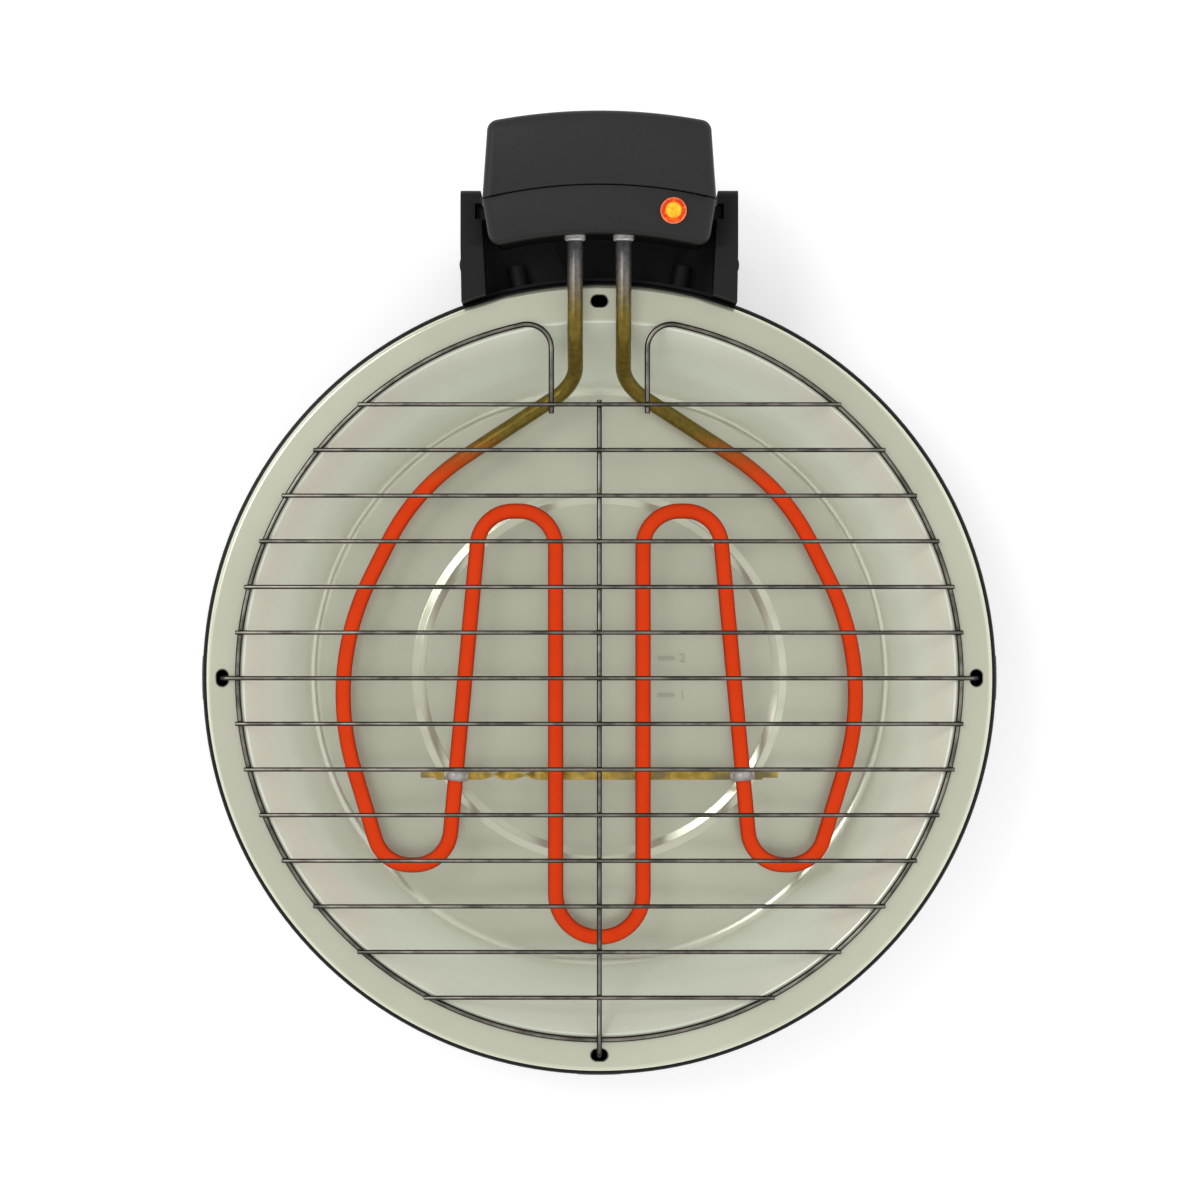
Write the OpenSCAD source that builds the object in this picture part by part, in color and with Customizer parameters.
// Round electric table grill: a bowl on legs, a water pan, a lift-out heating unit and a wire rack.
// Millimetres. X runs to the right, Y to the rear, Z up from the table the grill stands on.
// Pieces are drawn about the pan's upright axis, then moved so that the origin is the footprint's centre.

/* [Bowl] */
// Diameter across the rolled edge
bowl_d = 360; // [350:2:400]
// Height of the rolled edge's top above the table
bowl_edge_z = 71; // [68:1:80]
// Height of the rolled edge
bowl_edge_h = 4; // [3.4:0.2:5]
// How far the rolled edge stands out from the wall
bowl_edge_out = 2.6; // [2.4:0.2:3.4]
// Radius on the rolled edge's two outer corners
bowl_edge_r = 1.6; // [1:0.1:1.6]
// Height of the floor's underside above the table
bowl_floor_z = 22; // [20:1:24]
// Radius between the wall and the floor
bowl_corner_r = 20; // [14:1:24]
// Sheet thickness of the bowl
bowl_sheet = 1.2; // [1:0.1:1.6]

/* [Legs and feet] */
// Width of a leg
leg_w = 20.5; // [19:0.5:26]
// How far a leg's lug stands out past the bowl's edge
leg_proud = 0.8; // [0.6:0.1:1.6]
// Length of a leg's foot, inward from the bowl's edge
leg_foot_l = 44; // [42:1:50]
// How far a leg's toe stays inside the bowl's edge at the table
leg_toe_in = 8; // [4:1:10]
// Height of the knee where a leg's outer face turns upright
leg_knee_z = 46; // [36:1:54]
// Diameter of a foot pad
pad_d = 16; // [14:0.5:18]
// Height of a foot pad
pad_h = 5; // [4:0.5:7]
// Diameter of the stem that holds a pad
pad_stem_d = 6; // [5:0.5:8]
// Length of that stem
pad_stem_l = 6; // [5:0.5:8]
// Distance of a leg's pad from the bowl's edge
pad_in = 21; // [19:1:23]
// Distance of a leg's screws from the bowl's edge
leg_screw_in = 36; // [35:0.5:38]
// Distance of a leg's screws from its middle
leg_screw_half = 5.5; // [5:0.5:6]

/* [Screws] */
// Shank diameter of the screws through the bowl
screw_d = 3.4; // [3:0.1:4]
// Shank length below the head
screw_l = 11; // [9:0.5:12]
// Head diameter
screw_head_d = 7; // [6:0.5:8]
// Head height
screw_head_h = 2.2; // [1.8:0.1:2.6]

/* [Water pan] */
// How far the pan's edge stays inside the bowl's edge
pan_inset = 2; // [1.8:0.1:2.4]
// Sheet thickness of the pan
pan_sheet = 1; // [0.8:0.1:1.2]
// Height of the rim above the bowl's edge
pan_edge_h = 2.4; // [2.3:0.1:3.2]
// Radius of the rolled outer edge
pan_edge_r = 2; // [1.6:0.1:2.2]
// Width of the flat rim
pan_rim_w = 17; // [16.5:0.1:19]
// Radius of the crease between rim and wall
pan_crease_r = 1.5; // [1.5:0.1:3]
// Depth from the rim to the floor
pan_depth = 40; // [37:1:42]
// How far the wall leans in on its way down
pan_wall_in = 28; // [24:1:29]
// Radius between the wall and the floor
pan_corner_r = 7; // [4:0.5:10]
// Diameter of the ring embossed in the floor
emboss_d = 167; // [150:1:190]
// Width of that ring
emboss_w = 6; // [5:0.5:9]
// Height of that ring
emboss_h = 1.2; // [0.8:0.1:1.6]
// Distance of the rim's slots from the pan's edge
slot_in = 7.4; // [7:0.1:8]
// Length of a slot along the rim
slot_l = 7.8; // [7.4:0.1:9]
// Width of a slot
slot_w = 5.4; // [4.8:0.1:6]

/* [Rack] */
// Distance of the ring wire's centre from the pan's edge
ring_in = 14.5; // [14:0.1:15]
// Diameter of the ring wire
ring_wire_d = 2.5; // [2.2:0.1:3]
// Gap between the ring's two turned-in ends
ring_gap = 43.4; // [40:0.2:48]
// Radius of the turn at each end
ring_turn_r = 11; // [8:0.5:13]
// How far the ends run past the rear cross wire
ring_end_past = 4; // [3:0.5:6]
// Diameter of a cross wire
cross_wire_d = 2; // [1.8:0.1:2.4]
// Distance of the front cross wire from the middle of the ring wire's front
front_wire_in = 19.3; // [17:0.1:22]
// How far a cross wire runs past the ring wire's centre
cross_past = 2.2; // [1.8:0.1:3]
// Diameter of the stay wire under the cross wires
stay_wire_d = 2.3; // [2:0.1:2.6]
// Length of the stay's rise to the top of the ring
stay_rise_l = 9; // [8:0.5:11]
// How deep welded wires sink into each other
weld_sink = 0.2; // [0.1:0.05:0.3]
// How far the wire hooks reach down below the rim
hook_drop = 8; // [6:0.5:10]
// Bend radius of the hooks
hook_r = 3; // [2:0.5:4]

/* [Heating element] */
// Diameter of the heating tube
tube_d = 7; // [6.4:0.1:8]
// Distance between the two legs
leg_spacing = 21.8; // [20:0.2:24]
// Height of the legs' centre above the rim
leg_rise = 8; // [7:0.5:10]
// Depth of the loops' centre below the rim
element_drop = 18; // [17:0.5:20]
// How far inside the rim's crease the legs bend down
leg_bend_in = 4; // [2:0.5:5]
// Run of the slope that leads down into the pan
leg_slope_l = 23; // [20:0.5:25]
// Sideways place of the shoulder where the outer run starts
shoulder_x = 84.5; // [82:0.5:87]
// Place of the shoulder behind the pan's axis
shoulder_y = 86; // [84:0.5:88]
// Sideways place of the outer run's flank
flank_x = 126; // [122:0.5:128]
// Place of the flank behind the pan's axis
flank_y = 3; // [0:0.5:6]
// Sideways place where the outer run meets the side loop
outer_foot_x = 99; // [97.5:0.5:102]
// Sideways place of the inner run at the side loop
inner_foot_x = 69.5; // [67:0.5:70.5]
// Distance of the side loops in front of the pan's axis
side_loop_y = 86; // [82:0.5:90]
// Sideways place of the inner run at the rear loop
inner_rear_x = 54.5; // [54:0.5:58]
// Distance of the rear loops behind the pan's axis
rear_loop_y = 76; // [72:0.5:78]
// Sideways place of the two middle runs
middle_x = 20; // [19.8:0.1:20.6]
// Distance of the middle loop in front of the pan's axis
middle_loop_y = 119; // [114:0.5:122]
// Bend radius of the side and rear loops
loop_r = 16.5; // [14:0.5:17]
// Bend radius of the middle loop
middle_loop_r = 19.5; // [17:0.1:19.7]
// Bend radius where a leg turns down over the rim
leg_bend_r = 14; // [10:0.5:18]
// Bend radius where a leg turns into the outer run
dive_bend_r = 16; // [12:0.5:20]
// Bend radius at the shoulder
shoulder_r = 100; // [80:1:110]
// Bend radius at the flank
flank_r = 120; // [100:1:125]

/* [Strap] */
// Distance of the strap in front of the pan's axis
strap_y = 45; // [35:0.5:55]
// Length of the strap
strap_l = 150; // [145:1:156]
// Width of the strap
strap_w = 4.4; // [4:0.1:6]
// Thickness of the strap
strap_t = 0.9; // [0.8:0.1:1.4]
// Length of the thin tail at each end
strap_tail_l = 7; // [5:0.5:9]
// Width of a tail
strap_tail_w = 2.6; // [2:0.1:3.4]
// Thickness of a clip's band
clip_t = 0.8; // [0.6:0.1:1.2]
// Length of a clip along the tube
clip_l = 5.4; // [4.5:0.1:7]
// Length of a clip's foot on the strap
clip_foot_l = 3.4; // [2.5:0.1:4]

/* [Control unit] */
// Distance from the bowl's edge to the unit's front
unit_gap = 17.4; // [16.5:0.1:18]
// Depth of the unit from front to rear
unit_depth = 53.2; // [52.6:0.2:56]
// Depth of the fascia, up to its parting line
fascia_depth = 20.3; // [19.6:0.1:21]
// Width of the unit at its front
unit_front_w = 96.4; // [95.2:0.2:98]
// Width of the unit at the parting line
unit_w = 102.8; // [102:0.2:106]
// Width of the unit at its rear
unit_rear_w = 98.2; // [97:0.2:99]
// Height of the unit
unit_h = 62; // [60:1:68]
// Height of the lower tub
tub_h = 50; // [48:0.5:52]
// Height of the legs' centre above the unit's underside
unit_leg_z = 23.4; // [22.5:0.1:24]
// How far the tub stays inside the covers
tub_in = 2.6; // [2.5:0.1:3]
// Wall thickness of the three shells
shell_t = 2.2; // [1.8:0.1:2.2]
// How far the covers lap over the tub
skirt_h = 3; // [2:0.5:3.5]
// Width of the parting line
parting_gap = 0.4; // [0.3:0.1:0.6]
// How far the fascia lies below the cover at the parting line
fascia_step = 0.8; // [0.4:0.1:1.2]
// How far the fascia falls from the top to its front edge
fascia_fall = 4.2; // [3:0.2:6]
// How far the top falls towards the rear
cover_fall = 1.5; // [0.5:0.1:3]
// Radius on the covers' upright corners
unit_corner_r = 5; // [3:0.5:6]
// Radius on the covers' top edges
unit_edge_r = 3.5; // [2.6:0.1:4.5]
// Distance of the screw bosses from the middle, front pair
front_boss_x = 39.6; // [39.3:0.1:39.9]
// Distance of the front bosses from the unit's front
front_boss_in = 9; // [8.6:0.1:10]
// Distance of the screw bosses from the middle, rear pair
rear_boss_x = 36; // [34:0.5:37]
// Distance of the rear bosses from the unit's rear
rear_boss_in = 10.5; // [9.5:0.1:12]
// Diameter of a boss
boss_d = 6.4; // [6:0.1:6.6]
// Shank diameter of a cover screw
cover_screw_d = 2.3; // [2:0.1:2.6]
// Shank length of a cover screw
cover_screw_l = 12; // [8:0.5:14]
// Head diameter of a cover screw
cover_head_d = 5.4; // [4.8:0.1:5.8]
// Head height of a cover screw
cover_head_h = 1.1; // [0.8:0.1:1.2]

/* [Holder] */
// Gap between the unit's widest place and an ear
ear_gap = 1.7; // [1.6:0.1:2.4]
// Thickness of an ear at its rear
ear_t = 8.9; // [8:0.1:11]
// How much an ear's inner face leans in towards the bowl
ear_lean = 3.5; // [2:0.1:4]
// Distance from the unit's rear to the ears' rear
ear_back = 32.2; // [31:0.1:33.4]
// Height of the ears above the unit's underside
ear_h = 36; // [33:1:40]
// Width of the rails on the unit's sides
rail_w = 6.2; // [5:0.1:7]
// Distance of the rails from the parting line
rail_in = 8.9; // [8.2:0.1:9.6]
// How far the rails stop below the ears' top
rail_down = 6.4; // [5:0.2:10]
// Depth of the grooves in the ears
groove_d = 2.8; // [2:0.1:3.4]
// Thickness of the holder's shelf, apron and front wall
holder_t = 4; // [3.2:0.1:5]
// Turn of the holder's screws from the middle line, in degrees
holder_screw_turn = 11.5; // [10:0.5:12]
// Height of the holder's lower screws
holder_screw_low = 46; // [45:0.5:47]
// Distance of the upper screws below the bowl's edge
holder_screw_down = 9; // [8:0.5:9]
// Diameter of the bosses for those screws
holder_boss_d = 9; // [8:0.5:9]
// Distance of the holder's feet from the ears' rear
holder_foot_in = 26; // [24:0.5:28]

/* [Fittings] */
// Diameter of the lamp lens's flange
lens_d = 11.6; // [11:0.1:12]
// Diameter of the lens's raised middle
lens_dome_d = 7.4; // [6.6:0.1:8]
// Height of the lens's flange
lens_flange_h = 1.3; // [1:0.1:1.6]
// Height of the raised middle above the fascia
lens_dome_h = 2.4; // [2:0.1:3]
// Diameter of the lens's barrel
lens_barrel_d = 8.4; // [8.2:0.1:9]
// Length of the barrel
lens_barrel_l = 7; // [5:0.5:9]
// Diameter of the lamp
lamp_d = 5.8; // [5:0.1:6]
// Length of the lamp
lamp_l = 13; // [11:0.5:15]
// Sideways place of the lamp
lamp_x = 32.6; // [31:0.1:33]
// Distance of the lamp from the unit's front
lamp_in = 11.5; // [11:0.1:12.5]
// Diameter of a ferrule's flange
ferrule_d = 9.4; // [9.2:0.1:10]
// Thickness of a ferrule's flange
ferrule_t = 2.4; // [1.6:0.1:3]
// Wall of a ferrule's sleeve
ferrule_wall = 0.7; // [0.5:0.1:0.8]
// Length of the seal on each end of the tube
seal_l = 3; // [2:0.5:4]
// Diameter of a terminal pin
pin_d = 2.4; // [2:0.1:3]
// Length of a terminal pin
pin_l = 10; // [8:0.5:11]
// Length of the terminal block
block_l = 32; // [30:0.5:34]
// Width of the terminal block
block_w = 12; // [11:0.5:13]
// Height of the terminal block
block_h = 14; // [12:0.5:15]
// Distance of the terminal block's middle from the unit's rear
block_in = 22.6; // [22.2:0.1:23.8]
// Diameter of a wire
lead_d = 2.2; // [1.8:0.1:2.4]
// Bend radius of a wire
lead_r = 3; // [2.6:0.1:3.4]
// Diameter of the thermal cut-out
cutout_d = 15; // [14:0.5:16]
// Height of the thermal cut-out
cutout_h = 9; // [7:0.5:11]
// Sideways place of the thermal cut-out, to the left
cutout_x = 30; // [29.5:0.5:30.5]
// Distance of the thermal cut-out in front of the terminal block's middle
cutout_fore = 2; // [1.8:0.1:4]
// Length of the safety switch
switch_l = 19; // [17:0.5:20]
// Width of the safety switch
switch_w = 7; // [6:0.5:8]
// Height of the safety switch
switch_h = 13; // [12:0.5:15]
// Sideways place of the safety switch, to the left
switch_x = 26; // [25:0.5:27]
// Distance of the safety switch from the unit's front
switch_in = 14; // [13:0.5:15]
// Diameter of the switch's plunger
plunger_d = 3.6; // [3:0.1:4]
// Diameter of the cord gland's bore
gland_bore_d = 7.6; // [7:0.1:8.4]
// Wall of the gland
gland_wall = 1.8; // [1.4:0.1:2.2]
// Diameter of the gland's flange
gland_flange_d = 16; // [15:0.5:18]
// Thickness of the gland's flange
gland_flange_t = 3; // [2:0.5:4]
// Length of the gland's sleeve inside the wall
gland_sleeve_l = 4; // [3:0.5:4.5]
// Height of the gland above the unit's underside
gland_z = 15; // [14:0.5:18]

/* [Clearances] */
// Gap between pieces fixed to each other
fit_gap = 0.2; // [0.1:0.05:0.3]
// Gap under a piece that lifts off
seat_gap = 0.2; // [0.1:0.05:0.3]
// Gap round a piece that slides
slide_gap = 0.4; // [0.3:0.05:0.5]
// Gap round a screw, pin or wire in its hole
hole_gap = 0.15; // [0.1:0.05:0.2]

/* [Hidden] */
$fn = 64;
// Points on a rounded corner of an outline
corner_steps = 6;
// Overshoot of a cut past the face it opens
cut = 1;
// How far a bar's straight runs lap over its bends, and how much thinner the bends are drawn inside them
bar_lap = 0.2;
bend_thin = 0.04;

// Bowl and pan, radii from the pan's axis
bowl_r = bowl_d / 2;
wall_r = bowl_r - bowl_edge_out;
bowl_in_r = wall_r - bowl_sheet;
bowl_floor_top = bowl_floor_z + bowl_sheet;
lug_z = bowl_edge_z - bowl_edge_h - fit_gap;
pan_r = bowl_r - pan_inset;
pan_edge_z = bowl_edge_z + seat_gap;
rim_z = pan_edge_z + pan_edge_h;
rim_in_r = pan_r - pan_rim_w;
pan_floor_z = rim_z - pan_depth;
pan_floor_r = rim_in_r - pan_wall_in;
emboss_r = emboss_d / 2;
slot_r = pan_r - slot_in;

// Rack
ring_r = pan_r - ring_in;
ring_z = rim_z + seat_gap + ring_wire_d / 2;
cross_z = ring_z + ring_wire_d / 2 + cross_wire_d / 2 - weld_sink;
stay_z = cross_z - cross_wire_d / 2 - stay_wire_d / 2 + weld_sink;
stay_over_z = ring_z + ring_wire_d / 2 + stay_wire_d / 2 - weld_sink;
// The seventh of the fourteen cross wires lies on the pan's axis
middle_wire = 7;
last_wire = 14;
cross_pitch = (ring_r - front_wire_in) / (last_wire - middle_wire);
rear_wire_y = (middle_wire - 1) * cross_pitch;
hook_z = rim_z - hook_drop;
ring_turn_x = ring_gap / 2 + ring_turn_r;
ring_turn_y = sqrt((ring_r - ring_turn_r) ^ 2 - ring_turn_x ^ 2);
ring_turn_a = atan2(ring_turn_y, ring_turn_x);

// Control unit, radii from the pan's axis
unit_r = bowl_r + unit_gap;
parting_r = unit_r + fascia_depth;
unit_rear_r = unit_r + unit_depth;
leg_x = leg_spacing / 2;
leg_z = rim_z + leg_rise;
unit_z = leg_z - unit_leg_z;
tub_floor_z = unit_z + shell_t;
tub_top_z = unit_z + tub_h;
skirt_z = tub_top_z - skirt_h;
unit_top_z = unit_z + unit_h;
fascia_rear_z = unit_top_z - fascia_step;
fascia_front_z = unit_top_z - fascia_fall;
fascia_slope = atan((fascia_rear_z - fascia_front_z) / fascia_depth);
tub_front_r = unit_r + tub_in;
tub_rear_r = unit_rear_r - tub_in;
tub_front_y = sqrt(tub_front_r ^ 2 - leg_x ^ 2);
tube_end_y = tub_front_y + shell_t + seal_l;
pin_end_y = tube_end_y + pin_l;
front_boss_y = sqrt((unit_r + front_boss_in) ^ 2 - front_boss_x ^ 2);
rear_boss_y = sqrt((unit_rear_r - rear_boss_in) ^ 2 - rear_boss_x ^ 2);
block_y = unit_rear_r - block_in;
block_top_z = tub_floor_z + fit_gap + block_h;
cutout_y = block_y - cutout_fore;
switch_y = unit_r + switch_in;
// Depth of the plunger's bore in the switch
plunger_in = switch_h / 2;
lamp_r = unit_r + lamp_in;
lamp_turn = asin(lamp_x / lamp_r);
lamp_z = fascia_front_z + lamp_in * tan(fascia_slope);

// Holder
ear_in = unit_w / 2 + ear_gap;
ear_out = ear_in + ear_t;
ear_rear_y = unit_rear_r - ear_back;
ear_front_y = wall_r - 2 * bowl_corner_r;
ear_top_z = unit_z + ear_h;
shelf_z = unit_z - seat_gap;
rail_y = parting_r - rail_in;
ear_face_x = ear_in - ear_lean * (ear_rear_y - rail_y) / (ear_rear_y - ear_front_y);
groove_x = ear_face_x + groove_d;
holder_foot_x = (ear_in + ear_out) / 2;
holder_foot_y = ear_rear_y - holder_foot_in;

// Heating element
element_z = rim_z - element_drop;
leg_bend_y = rim_in_r - leg_bend_in;
dive_y = leg_bend_y - leg_slope_l;
half_route = [
  [leg_x, tube_end_y, leg_z],
  [leg_x, leg_bend_y, leg_z],
  [leg_x, dive_y, element_z],
  [shoulder_x, shoulder_y, element_z],
  [flank_x, flank_y, element_z],
  [outer_foot_x, -side_loop_y, element_z],
  [inner_foot_x, -side_loop_y, element_z],
  [inner_rear_x, rear_loop_y, element_z],
  [middle_x, rear_loop_y, element_z],
  [middle_x, -middle_loop_y, element_z]];
half_bends = [0, leg_bend_r, dive_bend_r, shoulder_r, flank_r, loop_r, loop_r, loop_r, loop_r, middle_loop_r];
element_route = concat(half_route, [for (p = reversed(half_route)) [-p[0], p[1], p[2]]]);
element_bends = concat(half_bends, reversed(half_bends));
inner_run_turn = atan((inner_foot_x - inner_rear_x) / (rear_loop_y + side_loop_y));
clip_x = inner_foot_x - (side_loop_y - strap_y) * tan(inner_run_turn);
strap_top_z = element_z - tube_d / 2 - fit_gap;

// The footprint's centre is the origin
front_reach = bowl_r + leg_proud;
rear_reach = max(unit_rear_r, tub_rear_r + gland_flange_t + fit_gap);
axis_y = (front_reach - rear_reach) / 2;

function direction(v) = v / norm(v);
function reversed(list) = [for (i = [len(list) - 1 : -1 : 0]) list[i]];

// Length of straight that a bend takes up on each side of its corner
function bend_reach(a, b, c, r) = r / tan(acos(direction(a - b) * direction(c - b)) / 2);

// Points of the arc that rounds the corner b between a and c
function corner_arc(a, b, c, r) =
  let (
    back = direction(a - b),
    on = direction(c - b),
    half = acos(back * on) / 2,
    centre = b + direction(back + on) * r / sin(half),
    start = direction(b + back * r / tan(half) - centre),
    turn = 180 - 2 * half)
  [for (k = [0 : corner_steps])
    centre + r * (cos(turn * k / corner_steps) * start - sin(turn * k / corner_steps) * back)];

// An outline with each corner rounded to its radius, or kept sharp where that is 0
function rounded(points, radii) =
  let (n = len(points))
  [for (i = [0 : n - 1])
    each radii[i] == 0
      ? [points[i]]
      : corner_arc(points[(i + n - 1) % n], points[i], points[(i + 1) % n], radii[i])];

// A path moved sideways, to its left where the distance is positive
function shifted(path, distance) =
  let (last = len(path) - 1)
  [for (i = [0 : last])
    let (
      a = direction(path[min(i + 1, last)] - path[min(i, last - 1)]),
      b = direction(path[max(i, 1)] - path[max(i, 1) - 1]),
      left_a = [-a[1], a[0]],
      mean = direction(left_a + [-b[1], b[0]]))
    path[i] + mean * distance / (mean * left_a)];

// A sheet of metal that follows a path
function sheet_outline(path, thickness) = concat(path, reversed(shifted(path, thickness)));

module about_axis() { translate([0, axis_y, 0]) children(); }

// A straight round bar from a to b
module straight_bar(a, b, d) {
  v = b - a;
  translate(a) rotate([0, acos(v[2] / norm(v)), atan2(v[1], v[0])]) cylinder(h = norm(v), d = d);
}

// The bend of a round bar at the corner b
module bar_bend(a, b, c, r, d) {
  back = direction(a - b);
  on = direction(c - b);
  half = acos(back * on) / 2;
  centre = b + direction(back + on) * r / sin(half);
  x = direction(b + back * r / tan(half) - centre);
  y = -back;
  z = cross(x, y);
  multmatrix([
    [x[0], y[0], z[0], centre[0]],
    [x[1], y[1], z[1], centre[1]],
    [x[2], y[2], z[2], centre[2]],
    [0, 0, 0, 1]])
    rotate_extrude(angle = 180 - 2 * half) translate([r, 0]) circle(d = d - bend_thin);
}

// A round bar along straight runs that are joined by bends and lap a little way over them
module bent_bar(points, radii, d) {
  last = len(points) - 1;
  reach = [for (i = [0 : last])
    radii[i] == 0 ? 0 : bend_reach(points[i - 1], points[i], points[i + 1], radii[i]) - bar_lap];
  for (i = [0 : last - 1]) {
    on = direction(points[i + 1] - points[i]);
    straight_bar(points[i] + on * reach[i], points[i + 1] - on * reach[i + 1], d);
  }
  for (i = [1 : last - 1]) bar_bend(points[i - 1], points[i], points[i + 1], radii[i], d);
}

// A slice of a flat ring of round bar, in plan
module arc_bar(centre, r, from, to, z, d) {
  translate([centre[0], centre[1], z]) rotate([0, 0, from])
    rotate_extrude(angle = to - from) translate([r, 0]) circle(d = d);
}

// A screw with its head above z = 0 and its shank below
module screw(d, l, head_d, head_h) {
  cylinder(h = head_h, d = head_d);
  translate([0, 0, -l]) cylinder(h = l + head_h / 2, d = d);
}

// The bore for a screw through the bowl, from above its sheet down to a depth
module screw_bore(depth) {
  translate([0, 0, -depth]) cylinder(h = depth + screw_l, d = screw_d + 2 * hole_gap);
}

// The space that the bowl fills, with room round it
module bowl_space(room) {
  top = bowl_edge_z + cut;
  path = rounded(
    [[wall_r + room, top], [wall_r + room, bowl_floor_z - room], [0, bowl_floor_z - room]],
    [0, bowl_corner_r + room, 0]);
  rotate_extrude() polygon(concat(path, [[0, top]]));
}

// The space that the bowl's edge fills, and the pan's way up out of the bowl
module lift_space(room) {
  translate([0, 0, lug_z]) cylinder(h = unit_top_z, r = bowl_r + room);
}

module at_legs() { for (turn = [0, 180, 270]) rotate([0, 0, turn]) children(); }

module at_leg_screws() {
  for (side = [-1, 1]) translate([bowl_r - leg_screw_in, side * leg_screw_half, bowl_floor_top]) children();
}

module at_holder_screws() {
  for (side = [-1, 1], z = [holder_screw_low, bowl_edge_z - holder_screw_down])
    rotate([0, 0, 90 + side * holder_screw_turn]) translate([bowl_in_r - hole_gap, 0, z]) rotate([0, -90, 0])
      children();
}

module base_bowl() {
  wall = rounded(
    [[wall_r, bowl_edge_z - bowl_edge_h / 2], [wall_r, bowl_floor_z], [0, bowl_floor_z]],
    [0, bowl_corner_r, 0]);
  edge = rounded(
    [[bowl_in_r, bowl_edge_z], [bowl_r, bowl_edge_z], [bowl_r, bowl_edge_z - bowl_edge_h],
      [bowl_in_r, bowl_edge_z - bowl_edge_h]],
    [0, bowl_edge_r, bowl_edge_r, 0]);
  color("#1b1a19") about_axis() difference() {
    union() {
      rotate_extrude() polygon(sheet_outline(wall, -bowl_sheet));
      rotate_extrude() polygon(edge);
    }
    at_legs() at_leg_screws() screw_bore(screw_l);
    at_holder_screws() screw_bore(screw_l);
  }
}

// A moulded leg that hugs the bowl, drawn on the bowl's right side
module leg() {
  difference() {
    rotate([90, 0, 0]) linear_extrude(height = leg_w, center = true)
      polygon([
        [bowl_r - leg_foot_l, pad_h], [bowl_r - leg_toe_in, pad_h], [bowl_r + leg_proud, leg_knee_z],
        [bowl_r + leg_proud, lug_z], [bowl_r - leg_foot_l, lug_z]]);
    bowl_space(fit_gap);
    at_leg_screws() screw_bore(screw_l + cut);
    translate([bowl_r - pad_in, 0, pad_h - cut])
      cylinder(h = pad_stem_l + 2 * cut, d = pad_stem_d + 2 * hole_gap);
  }
}

module left_leg() { color("#232323") about_axis() rotate([0, 0, 180]) leg(); }
module right_leg() { color("#232323") about_axis() leg(); }
module front_leg() { color("#232323") about_axis() rotate([0, 0, 270]) leg(); }

module leg_screws() {
  color("silver") about_axis() at_legs() at_leg_screws()
    translate([0, 0, hole_gap]) screw(screw_d, screw_l, screw_head_d, screw_head_h);
}

module foot_pad() {
  cylinder(h = pad_h - fit_gap / 2, d = pad_d);
  cylinder(h = pad_h + pad_stem_l, d = pad_stem_d);
}

module leg_pad(turn) { rotate([0, 0, turn]) translate([bowl_r - pad_in, 0, 0]) foot_pad(); }

module holder_pad(side) { translate([side * holder_foot_x, holder_foot_y, 0]) foot_pad(); }

module left_foot_pad() { color("#303030") about_axis() leg_pad(180); }
module right_foot_pad() { color("#303030") about_axis() leg_pad(0); }
module front_foot_pad() { color("#303030") about_axis() leg_pad(270); }
module rear_left_foot_pad() { color("#303030") about_axis() holder_pad(-1); }
module rear_right_foot_pad() { color("#303030") about_axis() holder_pad(1); }

// One ear of the holder, on the right
module ear() {
  toe_y = ear_rear_y - holder_foot_in / 2;
  slope_y = ear_rear_y - holder_foot_in;
  side = rounded(
    [[ear_front_y, pad_h], [toe_y, pad_h], [ear_rear_y, shelf_z - 2 * holder_t], [ear_rear_y, ear_top_z],
      [slope_y, ear_top_z], [ear_front_y, bowl_edge_z]],
    [0, 0, 0, holder_t, holder_t, 0]);
  intersection() {
    rotate([90, 0, 90]) linear_extrude(height = ear_out) polygon(side);
    linear_extrude(height = ear_top_z)
      polygon([
        [ear_in - ear_lean, ear_front_y], [ear_out, ear_front_y],
        [ear_out, ear_rear_y], [ear_in, ear_rear_y]]);
  }
  translate([holder_foot_x, holder_foot_y, pad_h]) cylinder(h = pad_stem_l + 2 * holder_t, d = pad_d);
}

module holder_bracket() {
  between = 2 * (ear_in + ear_t / 2);
  wall_low = bowl_floor_z;
  color("#232323") about_axis() difference() {
    union() {
      ear();
      mirror([1, 0, 0]) ear();
      translate([-between / 2, ear_front_y, shelf_z - holder_t])
        cube([between, ear_rear_y - holder_t - ear_front_y, holder_t]);
      translate([-between / 2, ear_rear_y - 2 * holder_t, wall_low])
        cube([between, holder_t, shelf_z - wall_low - holder_t / 2]);
      intersection() {
        translate([-between / 2, ear_front_y, wall_low]) cube([between, unit_r, lug_z - wall_low]);
        translate([0, 0, wall_low]) cylinder(h = lug_z, r = wall_r + fit_gap + holder_t);
      }
      at_holder_screws() translate([0, 0, -screw_l - holder_t])
        cylinder(h = screw_l, d = holder_boss_d);
      translate([-switch_x, switch_y, shelf_z - holder_t / 2])
        cylinder(h = holder_t / 2 + shell_t - slide_gap, d = plunger_d - slide_gap);
    }
    bowl_space(fit_gap);
    lift_space(fit_gap);
    for (side = [-1, 1]) {
      translate([side * groove_x - (side > 0 ? ear_t : 0), rail_y - rail_w / 2 - slide_gap, shelf_z])
        cube([ear_t, rail_w + 2 * slide_gap, unit_h]);
      translate([side * holder_foot_x, holder_foot_y, pad_h - cut])
        cylinder(h = pad_stem_l + 2 * cut, d = pad_stem_d + 2 * hole_gap);
    }
    at_holder_screws() screw_bore(screw_l + cut);
  }
}

module bracket_screws() {
  color("silver") about_axis() at_holder_screws() screw(screw_d, screw_l, screw_head_d, screw_head_h);
}

module rim_slot() {
  half = (slot_l - slot_w) / 2;
  translate([slot_r, 0, rim_z - pan_edge_h]) {
    for (side = [-1, 1]) translate([0, side * half, 0]) cylinder(h = 2 * pan_edge_h, d = slot_w);
    translate([-slot_w / 2, -half, 0]) cube([slot_w, 2 * half, 2 * pan_edge_h]);
  }
}

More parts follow.
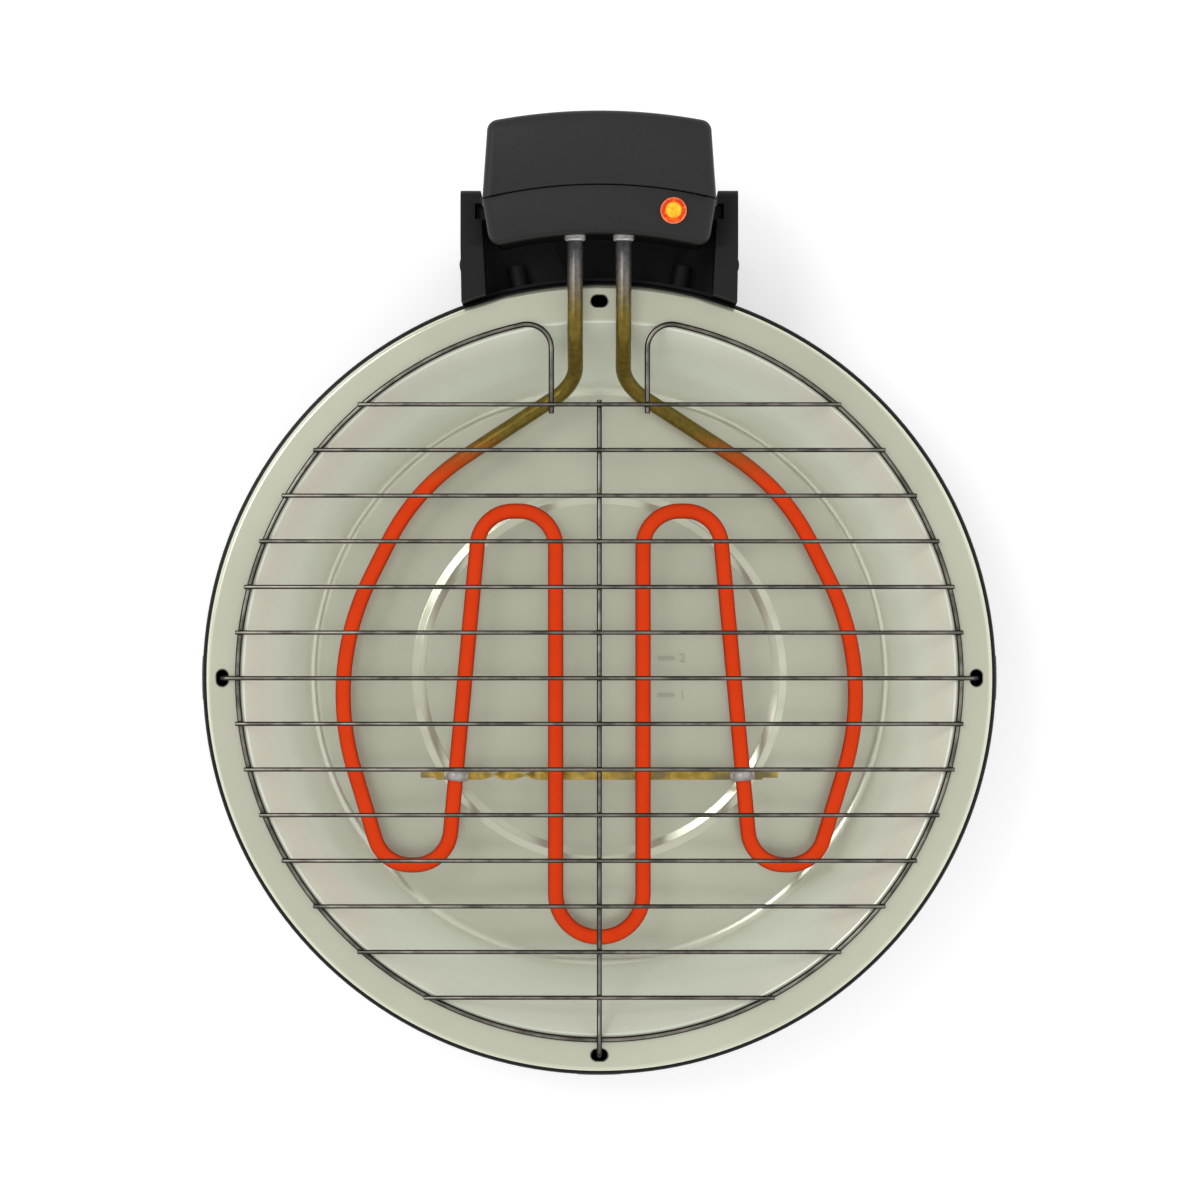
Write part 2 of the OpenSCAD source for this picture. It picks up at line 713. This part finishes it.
module water_pan() {
  low = pan_floor_z;
  high = pan_floor_z + emboss_h;
  foot = emboss_w / 2;
  top = foot - emboss_h;
  path = rounded(
    [[pan_r, pan_edge_z], [pan_r, rim_z], [rim_in_r, rim_z], [pan_floor_r, low], [emboss_r + foot, low],
      [emboss_r + top, high], [emboss_r - top, high], [emboss_r - foot, low], [0, low]],
    [0, pan_edge_r, pan_crease_r, pan_corner_r, 0, 0, 0, 0, 0]);
  color("#c8c8b2") about_axis() difference() {
    rotate_extrude() polygon(sheet_outline(path, pan_sheet));
    for (turn = [0, 90, 180, 270]) rotate([0, 0, turn]) rim_slot();
  }
}

module rack_ring() {
  end_y = rear_wire_y - ring_end_past;
  lap_y = ring_turn_y + bar_lap;
  past = ring_turn_a + asin(bar_lap / ring_r);
  turn_d = ring_wire_d - bend_thin;
  color("#6d6a64") about_axis() {
    arc_bar([0, 0], ring_r, 180 - past, 360 + past, ring_z, ring_wire_d);
    arc_bar([ring_turn_x, ring_turn_y], ring_turn_r, ring_turn_a, 180, ring_z, turn_d);
    arc_bar([-ring_turn_x, ring_turn_y], ring_turn_r, 0, 180 - ring_turn_a, ring_z, turn_d);
    for (side = [-1, 1])
      straight_bar([side * ring_gap / 2, lap_y, ring_z], [side * ring_gap / 2, end_y, ring_z], ring_wire_d);
  }
}

module rack_stay() {
  rise_y = -ring_r + ring_wire_d + stay_rise_l;
  color("#6d6a64") about_axis() bent_bar(
    [[0, rear_wire_y + cross_past, stay_z], [0, rise_y, stay_z], [0, rise_y - stay_rise_l, stay_over_z],
      [0, -slot_r, stay_over_z], [0, -slot_r, hook_z]],
    [0, hook_r, hook_r, hook_r, 0], stay_wire_d);
}

// A cross wire, counted from the rear; the middle one is bent down into the rim's side slots
module cross_wire(number) {
  y = (middle_wire - number) * cross_pitch;
  half = sqrt(ring_r ^ 2 - y ^ 2) + cross_past;
  color("#6d6a64") about_axis()
    if (number == middle_wire)
      bent_bar(
        [[-slot_r, y, hook_z], [-slot_r, y, cross_z], [slot_r, y, cross_z], [slot_r, y, hook_z]],
        [0, hook_r, hook_r, 0], cross_wire_d);
    else
      straight_bar([-half, y, cross_z], [half, y, cross_z], cross_wire_d);
}

// The unit's outline in plan, a slice of a ring about the pan's axis, drawn in by the inset
module unit_plan(inset) {
  steps = 8;
  front_half = unit_front_w / 2 - inset;
  widest_half = unit_w / 2 - inset;
  rear_half = unit_rear_w / 2 - inset;
  front_r = unit_r + inset;
  rear_r = unit_rear_r - inset;
  front = [for (k = [0 : steps]) let (x = front_half * (1 - 2 * k / steps)) [x, sqrt(front_r ^ 2 - x ^ 2)]];
  rear = [for (k = [0 : steps]) let (x = rear_half * (2 * k / steps - 1)) [x, sqrt(rear_r ^ 2 - x ^ 2)]];
  side_y = sqrt(parting_r ^ 2 - widest_half ^ 2);
  corner_r = max(unit_corner_r - inset, 1);
  corners = [for (k = [0 : steps]) k == 0 || k == steps ? corner_r : 0];
  polygon(rounded(
    concat(front, [[-widest_half, side_y]], rear, [[widest_half, side_y]]),
    concat(corners, [0], corners, [0])));
}

// A slice of a solid of revolution about the pan's axis, behind the pan
module revolved_slice(points, radii) {
  turn = 40;
  rotate([0, 0, 90 - turn / 2]) rotate_extrude(angle = turn) polygon(rounded(points, radii));
}

module cover_solid(points, radii, inset) {
  intersection() {
    revolved_slice(points, radii);
    linear_extrude(height = unit_top_z + cut) unit_plan(inset);
  }
}

module fascia_solid(inset, over) {
  front = unit_r + inset;
  rear = parting_r - parting_gap / 2 + over;
  low = skirt_z - over;
  cover_solid(
    [[front, low], [front, fascia_front_z - inset], [rear, fascia_rear_z - inset], [rear, low]],
    [0, max(unit_edge_r - inset, cut / 2), 0, 0], inset);
}

module top_cover_solid(inset, over) {
  front = parting_r + parting_gap / 2 - over;
  rear = unit_rear_r - inset;
  low = skirt_z - over;
  cover_solid(
    [[front, low], [front, unit_top_z - inset], [rear, unit_top_z - cover_fall - inset], [rear, low]],
    [0, 0, max(unit_edge_r - inset, cut / 2), 0], inset);
}

// A pair of screw bosses that hang from a cover's roof down to the tub's floor
module cover_bosses(x, y) {
  for (side = [-1, 1]) translate([side * x, y, tub_floor_z + fit_gap]) cylinder(h = unit_h, d = boss_d);
}

module boss_bores(x, y) {
  for (side = [-1, 1]) translate([side * x, y, unit_z])
    cylinder(h = cover_screw_l + shell_t, d = cover_screw_d + 2 * hole_gap);
}

module unit_fascia() {
  color("#3a3a3a") about_axis() difference() {
    union() {
      difference() {
        fascia_solid(0, 0);
        fascia_solid(shell_t, cut);
      }
      intersection() {
        cover_bosses(front_boss_x, front_boss_y);
        translate([0, 0, -shell_t / 2]) fascia_solid(0, unit_h);
      }
    }
    boss_bores(front_boss_x, front_boss_y);
    at_lamp() translate([0, 0, -lens_barrel_l])
      cylinder(h = 2 * lens_barrel_l, d = lens_barrel_d + 2 * hole_gap);
  }
}

module unit_top_cover() {
  color("#3a3a3a") about_axis() difference() {
    union() {
      difference() {
        top_cover_solid(0, 0);
        top_cover_solid(shell_t, cut);
      }
      intersection() {
        cover_bosses(rear_boss_x, rear_boss_y);
        translate([0, 0, -shell_t / 2]) top_cover_solid(0, unit_h);
      }
    }
    boss_bores(rear_boss_x, rear_boss_y);
  }
}

module at_cover_screws() {
  for (side = [-1, 1]) {
    translate([side * front_boss_x, front_boss_y, unit_z]) children();
    translate([side * rear_boss_x, rear_boss_y, unit_z]) children();
  }
}

module unit_tub() {
  rail_foot_x = unit_w / 2 - tub_in - shell_t / 2;
  rail_l = groove_x - slide_gap - rail_foot_x;
  rail_low = unit_z + slide_gap;
  color("#2c2c2c") about_axis() difference() {
    union() {
      difference() {
        translate([0, 0, unit_z]) linear_extrude(height = tub_h) unit_plan(tub_in);
        translate([0, 0, tub_floor_z]) linear_extrude(height = tub_h) unit_plan(tub_in + shell_t);
      }
      for (side = [-1, 1])
        translate([side > 0 ? rail_foot_x : -rail_foot_x - rail_l, rail_y - rail_w / 2, rail_low])
          cube([rail_l, rail_w, ear_top_z - rail_down - rail_low]);
    }
    for (side = [-1, 1]) translate([side * leg_x, tub_front_y - cut, leg_z]) rotate([-90, 0, 0])
      cylinder(h = shell_t + 2 * cut, d = tube_d + 2 * ferrule_wall + 4 * hole_gap);
    translate([0, tub_rear_r - shell_t - cut, unit_z + gland_z]) rotate([-90, 0, 0])
      cylinder(h = shell_t + 2 * cut, d = gland_bore_d + 2 * gland_wall + 2 * hole_gap);
    translate([-switch_x, switch_y, unit_z - cut])
      cylinder(h = shell_t + 2 * cut, d = plunger_d + 2 * slide_gap);
    at_cover_screws() {
      translate([0, 0, -cut]) cylinder(h = shell_t + 2 * cut, d = cover_screw_d + 2 * hole_gap);
      translate([0, 0, -cut]) cylinder(h = cover_head_h + hole_gap + cut, d = cover_head_d + 2 * hole_gap);
    }
  }
}

module unit_screws() {
  color("silver") about_axis() at_cover_screws() translate([0, 0, cover_head_h]) rotate([180, 0, 0])
    screw(cover_screw_d, cover_screw_l, cover_head_d, cover_head_h);
}

module at_lamp() {
  rotate([0, 0, -lamp_turn]) translate([0, lamp_r, lamp_z]) rotate([fascia_slope, 0, 0]) children();
}

module pilot_lens() {
  color("#f08a12") about_axis() at_lamp() difference() {
    union() {
      translate([0, 0, fit_gap]) cylinder(h = lens_flange_h, d = lens_d);
      translate([0, 0, -lens_barrel_l]) cylinder(h = lens_barrel_l + lens_flange_h, d = lens_barrel_d);
      cylinder(h = lens_dome_h, d = lens_dome_d);
    }
    translate([0, 0, -lens_barrel_l - cut]) cylinder(h = lens_barrel_l + cut, d = lamp_d + 2 * slide_gap);
  }
}

module pilot_lamp() {
  color("#ffcf6a") about_axis() at_lamp() translate([0, 0, -slide_gap - lamp_l])
    cylinder(h = lamp_l, d = lamp_d);
}

module heating_element() { color("#e0421a") about_axis() bent_bar(element_route, element_bends, tube_d); }

// A ferrule round a leg, where it leaves the tub's front wall; its flange stays clear of the wall's curve
module ferrule(side) {
  flange_room = 2 * fit_gap;
  sleeve_l = shell_t + 2 * fit_gap + ferrule_t;
  bore_d = tube_d + 2 * hole_gap;
  translate([side * leg_x, tub_front_y - flange_room, leg_z]) rotate([-90, 0, 0]) difference() {
    translate([0, 0, -ferrule_t]) {
      cylinder(h = ferrule_t, d = ferrule_d);
      cylinder(h = sleeve_l + ferrule_t, d = bore_d + 2 * ferrule_wall);
    }
    translate([0, 0, -ferrule_t - cut]) cylinder(h = sleeve_l + ferrule_t + 2 * cut, d = bore_d);
  }
}

module left_ferrule() { color("#b9b9b4") about_axis() ferrule(-1); }
module right_ferrule() { color("#b9b9b4") about_axis() ferrule(1); }

module end_seal(side) {
  translate([side * leg_x, tube_end_y, leg_z]) rotate([-90, 0, 0]) difference() {
    cylinder(h = seal_l, d = tube_d - 2 * fit_gap);
    translate([0, 0, -cut]) cylinder(h = seal_l + 2 * cut, d = pin_d + 2 * hole_gap);
  }
}

module left_end_seal() { color("#e8e4d8") about_axis() end_seal(-1); }
module right_end_seal() { color("#e8e4d8") about_axis() end_seal(1); }

module terminal_pin(side) {
  translate([side * leg_x, tube_end_y, leg_z]) rotate([-90, 0, 0]) cylinder(h = pin_l, d = pin_d);
}

module left_terminal_pin() { color("silver") about_axis() terminal_pin(-1); }
module right_terminal_pin() { color("silver") about_axis() terminal_pin(1); }

module element_strap() {
  low = strap_top_z - strap_t;
  tail_l = strap_l / 2 + strap_tail_l;
  color("#b0852a") about_axis() translate([0, -strap_y, low]) {
    translate([-strap_l / 2, -strap_w / 2, 0]) cube([strap_l, strap_w, strap_t]);
    translate([-tail_l, -strap_tail_w / 2, 0]) cube([2 * tail_l, strap_tail_w, strap_t]);
  }
}

// A saddle over an inner run of the tube, with two feet on the strap
module strap_clip(side) {
  bore_d = tube_d + 2 * fit_gap;
  band_d = bore_d + 2 * clip_t;
  foot_z = strap_top_z - element_z + fit_gap / 2;
  translate([side * clip_x, -strap_y, element_z]) rotate([0, 0, side * inner_run_turn]) difference() {
    union() {
      rotate([90, 0, 0]) cylinder(h = clip_l, d = band_d, center = true);
      translate([-band_d / 2, -clip_l / 2, foot_z]) cube([band_d, clip_l, -foot_z]);
      translate([-band_d / 2 - clip_foot_l, -clip_l / 2, foot_z])
        cube([band_d + 2 * clip_foot_l, clip_l, clip_t]);
    }
    rotate([90, 0, 0]) cylinder(h = clip_l + 2 * cut, d = bore_d, center = true);
    translate([-bore_d / 2, -clip_l, foot_z - band_d]) cube([bore_d, 2 * clip_l, band_d - foot_z]);
    translate([-band_d, -clip_l, foot_z - band_d]) cube([2 * band_d, 2 * clip_l, band_d]);
  }
}

module left_strap_clip() { color("#9a958a") about_axis() strap_clip(-1); }
module right_strap_clip() { color("#9a958a") about_axis() strap_clip(1); }

module terminal_block() {
  bore_d = lead_d + 4 * hole_gap;
  depth = block_h / 2;
  color("#ddd8c8") about_axis() difference() {
    translate([-block_l / 2, block_y - block_w / 2, tub_floor_z + fit_gap]) cube([block_l, block_w, block_h]);
    for (x = [-leg_x, 0, leg_x])
      translate([x, block_y, block_top_z - depth]) cylinder(h = depth + cut, d = bore_d);
  }
}

module thermal_cutout() {
  base_h = cutout_h / 3;
  color("#3b3029") about_axis() translate([-cutout_x, cutout_y, tub_floor_z + fit_gap]) {
    cylinder(h = base_h, d = cutout_d);
    cylinder(h = cutout_h, d = cutout_d - base_h);
  }
}

module safety_switch() {
  bore_l = plunger_in + 2 * slide_gap;
  color("#26364a") about_axis() translate([-switch_x, switch_y, tub_floor_z + fit_gap]) difference() {
    translate([-switch_l / 2, -switch_w / 2, 0]) cube([switch_l, switch_w, switch_h]);
    translate([0, 0, -cut]) cylinder(h = bore_l + cut, d = plunger_d + slide_gap);
  }
}

// The plunger stands in the switch's bore and, at rest, just above the post on the holder's shelf
module switch_plunger() {
  color("#d8d2c4") about_axis() translate([-switch_x, switch_y, tub_floor_z - slide_gap + seat_gap])
    cylinder(h = plunger_in + slide_gap, d = plunger_d);
}

module cord_gland() {
  color("#1d1d1d") about_axis() translate([0, tub_rear_r + fit_gap, unit_z + gland_z]) rotate([-90, 0, 0])
    difference() {
      union() {
        cylinder(h = gland_flange_t, d = gland_flange_d);
        translate([0, 0, -shell_t - gland_sleeve_l])
          cylinder(h = shell_t + gland_sleeve_l + gland_flange_t, d = gland_bore_d + 2 * gland_wall);
      }
      translate([0, 0, -shell_t - gland_sleeve_l - cut])
        cylinder(h = shell_t + gland_sleeve_l + gland_flange_t + 2 * cut, d = gland_bore_d);
    }
}

module element_lead(side) {
  bent_bar(
    [[side * leg_x, pin_end_y + fit_gap, leg_z], [side * leg_x, block_y, leg_z],
      [side * leg_x, block_y, block_top_z - block_h / 2 + fit_gap]],
    [0, lead_r, 0], lead_d);
}

module left_lead() { color("#c9c4ba") about_axis() element_lead(-1); }
module right_lead() { color("#c9c4ba") about_axis() element_lead(1); }

// Two wires from the lamp's lower end to the right end of the terminal block
module lamp_leads() {
  lamp_low = slide_gap + lamp_l;
  foot_r = lamp_r + lamp_low * sin(fascia_slope);
  foot_z = lamp_z - lamp_low * cos(fascia_slope) - lead_d / 2;
  foot = [foot_r * sin(lamp_turn), foot_r * cos(lamp_turn), foot_z];
  half = lamp_d / 4;
  low = tub_floor_z + block_h / 2;
  color("#8a2f24") about_axis()
    for (side = [-1, 1]) {
      x = foot[0] + side * half;
      y = block_y + side * lead_r;
      bent_bar(
        [[x, foot[1], foot[2]], [x, foot[1], low], [x, y, low], [block_l / 2 + fit_gap, y, low]],
        [0, lead_r, lead_r, 0], lead_d);
    }
}

// Wires from the safety switch and from the thermal cut-out to the left end of the terminal block
module switch_leads() {
  block_end = -block_l / 2 - fit_gap;
  switch_end_y = switch_y + switch_w / 2 + fit_gap;
  switch_turn_y = block_y - lead_r;
  x = block_end - 2 * lead_r;
  switch_low = tub_floor_z + switch_h / 2 + lead_d;
  cutout_low = tub_floor_z + cutout_h / 6 + fit_gap;
  color("#44413d") about_axis() {
    bent_bar(
      [[x, switch_end_y, switch_low], [x, switch_turn_y, switch_low], [block_end, switch_turn_y, switch_low]],
      [0, lead_r, 0], lead_d);
    straight_bar(
      [-cutout_x + cutout_d / 2 + fit_gap, cutout_y, cutout_low], [block_end, cutout_y, cutout_low], lead_d);
  }
}

base_bowl();
holder_bracket();
bracket_screws();
left_leg();
right_leg();
front_leg();
leg_screws();
left_foot_pad();
right_foot_pad();
front_foot_pad();
rear_left_foot_pad();
rear_right_foot_pad();
water_pan();
rack_ring();
rack_stay();
cross_wire(1);  // cross_wire_01
cross_wire(2);  // cross_wire_02
cross_wire(3);  // cross_wire_03
cross_wire(4);  // cross_wire_04
cross_wire(5);  // cross_wire_05
cross_wire(6);  // cross_wire_06
cross_wire(7);  // cross_wire_07
cross_wire(8);  // cross_wire_08
cross_wire(9);  // cross_wire_09
cross_wire(10);  // cross_wire_10
cross_wire(11);  // cross_wire_11
cross_wire(12);  // cross_wire_12
cross_wire(13);  // cross_wire_13
cross_wire(14);  // cross_wire_14
unit_tub();
unit_top_cover();
unit_fascia();
unit_screws();
pilot_lens();
pilot_lamp();
heating_element();
left_ferrule();
right_ferrule();
left_end_seal();
right_end_seal();
left_terminal_pin();
right_terminal_pin();
element_strap();
left_strap_clip();
right_strap_clip();
terminal_block();
thermal_cutout();
safety_switch();
switch_plunger();
cord_gland();
left_lead();
right_lead();
lamp_leads();
switch_leads();
